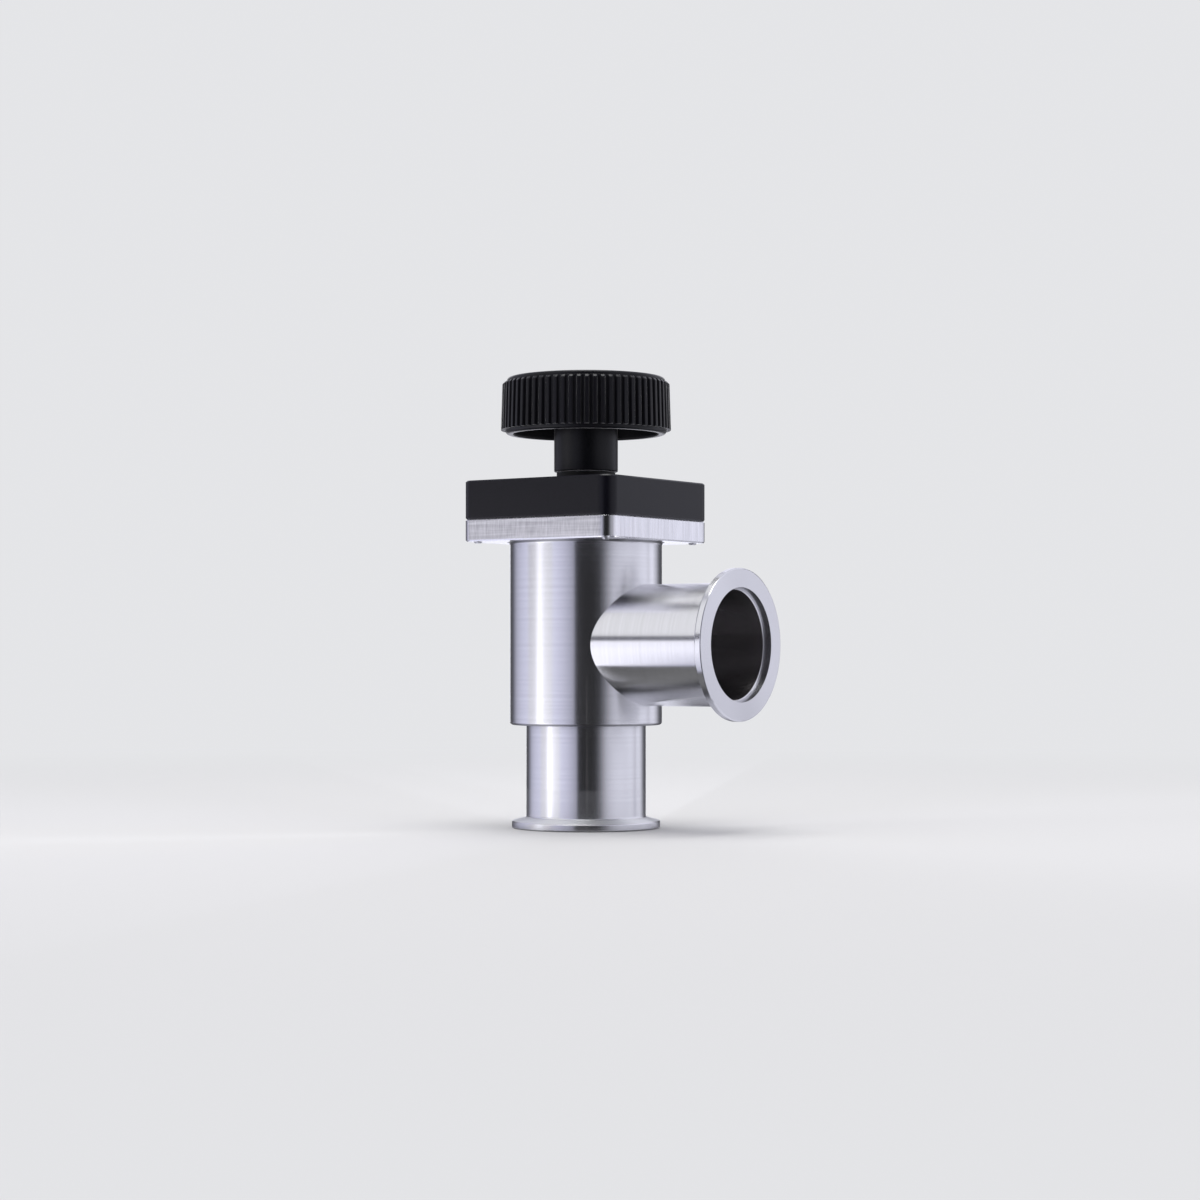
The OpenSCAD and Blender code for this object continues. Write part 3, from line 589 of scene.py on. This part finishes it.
def stack_tree():
    """A tree that stacks copies of another object up the Z axis and joins them to the piece's own mesh."""
    tree, given, end = new_tree("stack_tree", {
        "Repeat": bpy.types.Object, "Count": int, "First height": float, "Pitch": float})
    start = add_node(tree, "ShaderNodeCombineXYZ", {"Z": given["First height"]}).outputs["Vector"]
    step = add_node(tree, "ShaderNodeCombineXYZ", {"Z": given["Pitch"]}).outputs["Vector"]
    sizes = {"Count": given["Count"], "Start Location": start, "Offset": step}
    line = add_node(tree, "GeometryNodeMeshLine", sizes)
    source = add_node(tree, "GeometryNodeObjectInfo", {"Object": given["Repeat"]}).outputs["Geometry"]
    spots = {"Points": line.outputs["Mesh"], "Instance": source}
    copies = add_node(tree, "GeometryNodeInstanceOnPoints", spots)
    joined = add_node(tree, "GeometryNodeJoinGeometry")
    tree.links.new(given["Geometry"], joined.inputs["Geometry"])
    tree.links.new(copies.outputs["Instances"], joined.inputs["Geometry"])
    end(joined.outputs["Geometry"])
    return tree


def stack(piece, repeat, count, first, pitch, finish):
    """Stacks a repeat on a piece, then removes the repeat's own object."""
    run_tree(piece, stacking, {"Repeat": repeat, "Count": count, "First height": first * MM,
                               "Pitch": pitch * MM, "Finish": finish})
    bpy.data.objects.remove(repeat)
    return piece


stacking = stack_tree()
print("stacking tree:", len(stacking.nodes), "nodes")

# %% Bellows
BELLOWS_BOTTOM, BELLOWS_TOP, CUFF = 53.85, 110.1, 2.2
FOLD_COUNT, ROOT_RADIUS, CREST_RADIUS, SHEET = 14, 13.75, 20.0, 0.3
FOLD_PITCH = (BELLOWS_TOP - BELLOWS_BOTTOM - 2 * CUFF) / FOLD_COUNT


def fold_skin(side):
    """One face of a fold, from root to crest to root: side is 1 for the outer face and -1 for the inner."""
    bend = FOLD_PITCH / 4
    tight, wide = bend - side * SHEET / 2, bend + side * SHEET / 2
    return [*arc(ROOT_RADIUS + bend, 0, tight, 180, 90, 3),
            *arc(CREST_RADIUS - bend, FOLD_PITCH / 2, wide, -90, 90, 6),
            *arc(ROOT_RADIUS + bend, FOLD_PITCH, tight, 270, 180, 3)]


ROUND = even_turn(72)
outer_root, inner_root = ROOT_RADIUS + SHEET / 2, ROOT_RADIUS - SHEET / 2
lower_wall = [(outer_root, BELLOWS_BOTTOM + CUFF), (outer_root, BELLOWS_BOTTOM),
              (inner_root, BELLOWS_BOTTOM), (inner_root, BELLOWS_BOTTOM + CUFF)]
upper_wall = [(inner_root, BELLOWS_TOP - CUFF), (inner_root, BELLOWS_TOP),
              (outer_root, BELLOWS_TOP), (outer_root, BELLOWS_TOP - CUFF)]
bellows = revolve("folded_bellows", lower_wall, ROUND, closed=False)
upper_cuff = revolve("upper_cuff", upper_wall, ROUND, closed=False)
stack(bellows, upper_cuff, 1, 0.0, 1.0, bright_steel)
outer_fold = revolve("outer_fold", fold_skin(1), ROUND, closed=False)
inner_fold = revolve("inner_fold", list(reversed(fold_skin(-1))), ROUND, closed=False)
for skin in (outer_fold, inner_fold):
    stack(bellows, skin, FOLD_COUNT, BELLOWS_BOTTOM + CUFF, FOLD_PITCH, bright_steel)
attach(bellows, "valve_body")
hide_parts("bellows")
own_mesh(bellows)
print("bellows faces:", len(bellows.data.polygons))

# %% [markdown]
# ## The cover's screws
#
# Four socket screws hold the cover down. Their heads lie in counterbores in its top, and their tips stand out
# a little under the plate. One screw is turned, with a knurled head and a hexagon socket that come from
# functions of the angle, and a tree sets a copy of it at each corner of a square.

# %% Corner tree


def corner_tree():
    """A tree that sets a copy of the piece's mesh at each corner of a square."""
    tree, given, end = new_tree("corner_tree", {"Spacing": float})
    sizes = {"Size X": given["Spacing"], "Size Y": given["Spacing"], "Vertices X": 2, "Vertices Y": 2}
    grid = add_node(tree, "GeometryNodeMeshGrid", sizes).outputs["Mesh"]
    copies = add_node(tree, "GeometryNodeInstanceOnPoints", {"Points": grid, "Instance": given["Geometry"]})
    end(copies.outputs["Instances"])
    return tree


cornering = corner_tree()
print("corner tree:", len(cornering.nodes), "nodes")

# %% Cover screws
HEAD_BOTTOM, HEAD_TOP, TIP = 124.8, 127.8, 105.3
HEAD_RADIUS, SHANK_RADIUS, SOCKET_FLATS, SOCKET_DEPTH = 2.75, 1.5, 2.5, 1.5
SCREW_SPACING = 57.2
KNURLS, KNURL_DEPTH = 24, 0.07


def knurled(angle):
    """The head's radius: a rounded ridge for each knurl."""
    return HEAD_RADIUS - KNURL_DEPTH * (1 - math.cos(KNURLS * angle)) / 2


def hexagon(angle):
    """The socket's radius: the distance to the flats of a hexagon."""
    sixth = math.pi / 3
    return SOCKET_FLATS / 2 / math.cos((angle + sixth / 2) % sixth - sixth / 2)


screws = revolve("cover_screws", [
    (0.0, TIP), (SHANK_RADIUS - 0.4, TIP), (SHANK_RADIUS, TIP + 0.4), (SHANK_RADIUS, HEAD_BOTTOM),
    (HEAD_RADIUS - 0.15, HEAD_BOTTOM), (knurled, HEAD_BOTTOM + 0.15), (knurled, HEAD_TOP - 0.4),
    *arc(HEAD_RADIUS - 0.4, HEAD_TOP - 0.35, 0.35, 0, 90, 3), (SOCKET_FLATS / 2 + 0.35, HEAD_TOP),
    (hexagon, HEAD_TOP - 0.12), (hexagon, HEAD_TOP - SOCKET_DEPTH), (0.0, HEAD_TOP - SOCKET_DEPTH - 0.5),
], even_turn(KNURLS * 4), closed=False)
run_tree(screws, cornering, {"Spacing": SCREW_SPACING * MM, "Finish": screw_steel})
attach(screws, "valve_body")
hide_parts("bonnet_screws")
print("screw faces:", len(screws.data.polygons))

# %% [markdown]
# ## The spindle
#
# The spindle turns in a fixed nut, so a thread of 3 mm lead climbs as the knob turns. The knob's tree serves
# again: with one ridge round the rod and many along it, the ridge winds up the rod. A negative height makes
# it a groove, cut below the rod's skin. Above the thread the rod stays smooth, where the wiper ring runs.

# %% Spindle
FOOT_BOTTOM, FOOT_TOP, FOOT_RADIUS = 85.02, 89.02, 7.97
ROD_RADIUS, DRIVE_TOP = 6.0, 154.1
THREAD_BOTTOM, THREAD_TOP, THREAD_LEAD, THREAD_DEPTH = 91.0, 113.0, 3.0, 1.6
BALL_RADIUS, BALL_SINK, TAPPED_RADIUS, TAPPED_BOTTOM = 3.03, 1.5, 2.52, 143.78
GROOVE_SECTION = [(0.0, 1.0), (0.16, 1.0), (0.31, 0.0), (0.5, 0.0)]
THREAD_STEP = 0.2


def spindle_profile():
    """The spindle's outline from the ball's pocket in its foot to the tapped hole in its top."""
    pocket = math.sqrt(BALL_RADIUS ** 2 - (BALL_RADIUS - BALL_SINK) ** 2)
    drive = with_flat(DRIVE_RADIUS, DRIVE_FLAT)
    steps = round((THREAD_TOP - THREAD_BOTTOM) / THREAD_STEP)
    thread = [(ROD_RADIUS, THREAD_BOTTOM + THREAD_STEP * i) for i in range(steps + 1)]
    return [
        (0.0, FOOT_BOTTOM + BALL_SINK), (pocket * 0.6, FOOT_BOTTOM + BALL_SINK * 0.75), (pocket, FOOT_BOTTOM),
        (FOOT_RADIUS - 0.3, FOOT_BOTTOM), (FOOT_RADIUS, FOOT_BOTTOM + 0.3), (FOOT_RADIUS, FOOT_TOP - 0.3),
        (FOOT_RADIUS - 0.3, FOOT_TOP), (ROD_RADIUS, FOOT_TOP), (ROD_RADIUS, THREAD_BOTTOM - 0.4), *thread,
        (ROD_RADIUS, THREAD_TOP + 0.4), (ROD_RADIUS, DRIVE_BOTTOM), (drive, DRIVE_BOTTOM),
        (drive, DRIVE_TOP - 0.3), (DRIVE_FLAT - 0.4, DRIVE_TOP), (TAPPED_RADIUS, DRIVE_TOP),
        (TAPPED_RADIUS, TAPPED_BOTTOM), (0.0, TAPPED_BOTTOM),
    ]


spindle = revolve("threaded_spindle", spindle_profile(), even_turn(72), closed=False)
run_tree(spindle, ridge_tree("thread_tree", GROOVE_SECTION), {
    "Ridges round": 1, "Ridges per metre": 1 / (THREAD_LEAD * MM), "Skin radius": ROD_RADIUS * MM,
    "Lower end": THREAD_BOTTOM * MM, "Upper end": THREAD_TOP * MM, "Foot height": -THREAD_DEPTH * MM,
    "Top height": -THREAD_DEPTH * MM, "End bevel": 0.0, "Finish": bright_steel})
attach(spindle, "handwheel")
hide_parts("spindle")
print("spindle faces:", len(spindle.data.polygons))

# %% [markdown]
# ## Floor and background
#
# The floor is a pale disc that keeps the valve's shadow and fades into the pale background further out.
# The background is the world's colour. Brighter lamps could whiten it, but they would bleach the valve too.
# So the camera and the metal see the background's own colour, and only the light that it gives is set apart.

# %% Floor
PALE = (0.78, 0.785, 0.805)
FLOOR_COLOUR, FLOOR_ROUGH, FLOOR_SPECULAR = (0.63, 0.625, 0.612), 0.9, 0.1
FLOOR_RADIUS = 6.0
FADE = (0.05, 0.85)


def seen_rays(tree):
    """1 on a ray from the camera or one that metal or glass sends on, and 0 on a ray that gathers light."""
    paths = add_node(tree, "ShaderNodeLightPath").outputs
    mirrored = calc(tree, "MAXIMUM", paths["Is Glossy Ray"], paths["Is Transmission Ray"])
    return calc(tree, "MAXIMUM", paths["Is Camera Ray"], mirrored)


def pale_floor():
    """A disc that keeps shadows near the valve and fades to the background."""
    data = bpy.data.meshes.new("floor")
    shape = bmesh.new()
    bmesh.ops.create_circle(shape, cap_ends=True, segments=96, radius=FLOOR_RADIUS)
    shape.to_mesh(data)
    shape.free()
    made = bpy.data.objects.new("floor", data)
    bpy.context.scene.collection.objects.link(made)
    material, tree, shader = new_material("pale_floor")
    shader.inputs["Base Color"].default_value = (*FLOOR_COLOUR, 1)
    shader.inputs["Roughness"].default_value = FLOOR_ROUGH
    shader.inputs["Specular IOR Level"].default_value = FLOOR_SPECULAR
    place = add_node(tree, "ShaderNodeTexCoord").outputs["Object"]
    away = add_node(tree, "ShaderNodeVectorMath", {0: place}, operation="LENGTH").outputs["Value"]
    fade = remap(tree, away, FADE, (0, 1), smooth=True)
    seen = calc(tree, "MULTIPLY", fade, seen_rays(tree))
    glow = add_node(tree, "ShaderNodeEmission", {"Color": (*PALE, 1)}).outputs["Emission"]
    mix = add_node(tree, "ShaderNodeMixShader", {0: seen, 1: shader.outputs["BSDF"], 2: glow})
    tree.links.new(mix.outputs["Shader"], tree.nodes["Material Output"].inputs["Surface"])
    data.materials.append(material)


pale_floor()
print("floor radius:", FLOOR_RADIUS)

# %% World
ROOM_LIGHT = 0.9

world = bpy.data.worlds.new("studio")
bpy.context.scene.world = world
world.use_nodes = True
sky = world.node_tree
backdrop = sky.nodes["Background"]
backdrop.inputs["Color"].default_value = (*PALE, 1)
sky.links.new(remap(sky, seen_rays(sky), (0, 1), (ROOM_LIGHT, 1.0)), backdrop.inputs["Strength"])
bpy.context.scene.view_settings.view_transform = "Standard"
print("room light:", ROOM_LIGHT)

# %% [markdown]
# ## Light panels and flags
#
# Turned steel shows the room and little else, so the light is a ring of tall panels round the valve. A broad
# panel and a bright strip stand on the left, a broad panel on the right, and dark flags between them draw the
# dark bands. Cards on the floor carry the same bands on under the horizon. No card is seen by the camera, and
# the flags and floor cards are seen only in reflections, so they leave the room's light as it is.
#
# A card's edge follows a mirrored ray: it starts on the lower tube's skin, halfway round to the ray's own
# direction. A card cut along plain radii would make the bands lean over near the floor.

# %% Cards
PANEL_REACH = 1.4
PANEL_TOP = 2.4
CARD_STEP = 6.0
CARD_LIFT = 0.4 * MM
TUBE_RADIUS = 22.25 * MM
FLOOR_REACH = [(6.5 * MM, 0.3), (13 * MM, 0.3), (26 * MM, 1.1), (0.15, 1.1), (PANEL_REACH, 1.0)]
COOL, SOFT, WHITE = (0.94, 0.945, 1.15), (0.96, 0.965, 1.085), (0.99, 0.985, 1.06)
NEUTRAL = (0.995, 0.995, 1.0)


def card_point(degrees, reach, height):
    """A point so far from the lower tube's skin, along the mirrored ray at an angle right of the camera."""
    half, whole = VIEW_TURN + math.radians(degrees / 2), VIEW_TURN + math.radians(degrees)
    return (TUBE_RADIUS * math.sin(half) + reach * math.sin(whole),
            -TUBE_RADIUS * math.cos(half) - reach * math.cos(whole), height)


def light_sheet(name, colour, points, faces, glow, lights_room=False, cover=None):
    """A sheet that the camera never sees, with a brightness at each point. A cover makes it one-sided."""
    data = bpy.data.meshes.new(name)
    data.from_pydata(points, [], faces)
    data.attributes.new("glow", "FLOAT", "POINT").data.foreach_set("value", glow)
    material, tree, _ = new_material(name)
    level = add_node(tree, "ShaderNodeAttribute", attribute_name="glow").outputs["Fac"]
    emitter = add_node(tree, "ShaderNodeEmission", {"Color": (*colour, 1), "Strength": level})
    light = emitter.outputs["Emission"]
    if cover:  # 0 is clear and 1 is solid, and the back is always clear
        data.attributes.new("cover", "FLOAT", "POINT").data.foreach_set("value", cover)
        share = add_node(tree, "ShaderNodeAttribute", attribute_name="cover").outputs["Fac"]
        front = calc(tree, "SUBTRACT", 1.0, add_node(tree, "ShaderNodeNewGeometry").outputs["Backfacing"])
        clear = add_node(tree, "ShaderNodeBsdfTransparent").outputs["BSDF"]
        solid = calc(tree, "MULTIPLY", share, front)
        light = add_node(tree, "ShaderNodeMixShader", {0: solid, 1: clear, 2: light}).outputs["Shader"]
    tree.links.new(light, tree.nodes["Material Output"].inputs["Surface"])
    data.materials.append(material)
    made = bpy.data.objects.new(name, data)
    bpy.context.scene.collection.objects.link(made)
    made.visible_camera = False
    made.visible_diffuse = lights_room
    made.visible_shadow = lights_room


def card(name, colour, rings, stops, lights_room=False):
    """A curved card on rings of (reach, height, gain). Stops are (degrees right of camera, brightness)."""
    points, glow = [], []
    for (a, glow_a), (b, glow_b) in zip(stops, stops[1:]):
        steps = max(1, math.ceil((b - a) / CARD_STEP))
        for i in range(steps + 1):
            points += [card_point(a + (b - a) * i / steps, reach, z) for reach, z, _ in rings]
            glow += [(glow_a + (glow_b - glow_a) * i / steps) * gain for _, _, gain in rings]
    rows = len(rings)
    faces = [(i + k, i + k + 1, i + rows + k + 1, i + rows + k)
             for i in range(0, len(points) - rows, rows) for k in range(rows - 1)]
    light_sheet(name, colour, points, faces, glow, lights_room)


def panel(name, colour, bottom, top, stops, lights_room=True):
    """An upright card on the ring round the valve."""
    card(name, colour, [(PANEL_REACH, bottom, 1.0), (PANEL_REACH, top, 1.0)], stops, lights_room)


def floor_card(name, colour, stops):
    """A card just above the floor, seen only in reflections, with a dim ring where the foot shades it."""
    card(name, colour, [(reach, CARD_LIFT, gain) for reach, gain in FLOOR_REACH], stops)


print("light ring radius:", PANEL_REACH, "floor rings:", len(FLOOR_REACH))

# %% Light ring
LEFT = [(-146, 0.12), (-138, 0.34), (-132, 0.56), (-124, 0.74), (-115, 0.87), (-106, 0.95), (-98, 1.03)]
STRIP = [(-98, 1.03), (-88, 1.2), (-82, 1.38), (-79, 2.0), (-75, 2.35), (-71, 2.2), (-67, 1.6), (-62, 1.45),
         (-52, 1.22)]
OVER_STRIP = [(-98, 1.27), (-52, 1.27)]
LEFT_FRONT = [(-52, 1.08), (-45, 0.98), (-36, 0.86), (-27, 0.68), (-17, 0.48)]
FRONT_FLAG = [(-17, 0.05), (-6, 0.035), (2, 0.035), (10, 0.035), (17, 0.05)]
RIGHT = [(17, 0.05), (22, 0.11), (27, 0.23), (31, 0.39), (36, 0.61), (42, 0.84), (50, 1.0), (58, 1.1),
         (70, 1.12), (84, 1.05), (93, 1.16), (102, 1.25), (107, 1.08), (112, 1.08), (116, 1.33), (124, 1.25)]
RIGHT_FLOOR = [(17, 0.05), (22, 0.11), (27, 0.23), (31, 0.37), (36, 0.55), (42, 0.7), (50, 0.84), (58, 0.92),
               (70, 0.96), (84, 0.92), (93, 0.95), (102, 0.8), (107, 0.6), (112, 0.6), (116, 0.8), (124, 0.9)]
RIGHT_FLAG = [(124, 1.0), (133, 0.7), (140, 0.35), (148, 0.12), (172, 0.08)]
LEFT_FLAG = [(-166, 0.1), (-146, 0.12)]
BACK = [(172, 1.2), (194, 1.2)]
RIGHT_BACK, LEFT_BACK = [(124, 1.0), (172, 1.0)], [(-166, 1.0), (-146, 1.0)]
STRIP_FLAG = [(-98, 0.03), (-52, 0.03)]
STRIP_TOP, STRIP_GAP, FLAG_TOP = 0.23, 0.41, 0.45

panel("panel_left", COOL, 0.0, PANEL_TOP, LEFT)
panel("panel_strip", WHITE, 0.0, STRIP_TOP, STRIP)
panel("flag_strip", WHITE, STRIP_TOP, STRIP_GAP, STRIP_FLAG, lights_room=False)
panel("panel_over_strip", NEUTRAL, STRIP_GAP, PANEL_TOP, OVER_STRIP)
panel("panel_left_front", COOL, 0.0, PANEL_TOP, LEFT_FRONT)
panel("panel_right", SOFT, 0.0, PANEL_TOP, RIGHT)
panel("flag_front", WHITE, 0.0, PANEL_TOP, FRONT_FLAG, lights_room=False)
panel("flag_back", SOFT, 0.0, PANEL_TOP, BACK, lights_room=False)
for side, low, high in [("left", LEFT_FLAG, LEFT_BACK), ("right", RIGHT_FLAG, RIGHT_BACK)]:
    panel("flag_" + side, SOFT, 0.0, FLAG_TOP, low, lights_room=False)
    panel("flag_over_" + side, SOFT, FLAG_TOP, PANEL_TOP, high, lights_room=False)
FLOOR_CARDS = [
    ("left", COOL, LEFT), ("strip", WHITE, STRIP), ("left_front", COOL, LEFT_FRONT),
    ("front", WHITE, FRONT_FLAG), ("right", SOFT, RIGHT_FLOOR), ("right_flag", SOFT, RIGHT_FLAG),
    ("back", SOFT, BACK), ("left_flag", SOFT, LEFT_FLAG),
]
for side, colour, stops in FLOOR_CARDS:
    floor_card("floor_" + side, colour, stops)
print("floor cards:", len(FLOOR_CARDS))

# %% [markdown]
# ### The flag under the side port
#
# The underside of the side port is dark, though the floor beside it is bright. A small dark flag does that:
# it stands between the port and the bright floor, in the plane of the camera, so the body and the lower tube
# see it only edge-on, inside their own dark band. Its top slopes down, so the dark edge runs along the port.
# The flag is one-sided and its near end fades out, so that it draws no hard line on the body in other views.

# %% Flag under the side port
FLAG_EDGE = [(23.5, 37.5, 0.1), (28.6, 37.5, 1.0), (28.6, 58.2, 0.65), (31.5, 56.2, 1.0), (104.0, 5.8, 1.0)]
FLAG_GLOW = (0.3, 0.16)

points, glow, cover = [], [], []
for away, top, share in FLAG_EDGE:
    points += [card_point(0, away * MM - TUBE_RADIUS, height) for height in (CARD_LIFT, top * MM)]
    glow += FLAG_GLOW
    cover += [share, share]
faces = [(k + 1, k + 3, k + 2, k) for k in range(0, 2 * len(FLAG_EDGE) - 2, 2)]
light_sheet("flag_under_port", NEUTRAL, points, faces, glow, cover=cover)
print("flag reach:", FLAG_EDGE[-1][0], "mm")

# %% [markdown]
# ### The lamp overhead
#
# One wide lamp above the valve lights what faces up and lays its soft shadow on the floor. A small lamp would
# give a hard shadow, which a studio with large panels doesn't have.

# %% Overhead lamp
LAMP_WIDTH, LAMP_HEIGHT, LAMP_WATTS = 1.0, 1.6, 14

overhead = bpy.data.lights.new("overhead", "AREA")
overhead.shape = "DISK"
overhead.size = LAMP_WIDTH
overhead.energy = LAMP_WATTS
lamp = bpy.data.objects.new("overhead", overhead)
lamp.location = (0, 0, LAMP_HEIGHT)
bpy.context.scene.collection.objects.link(lamp)
print("overhead lamp:", LAMP_WATTS, "W")
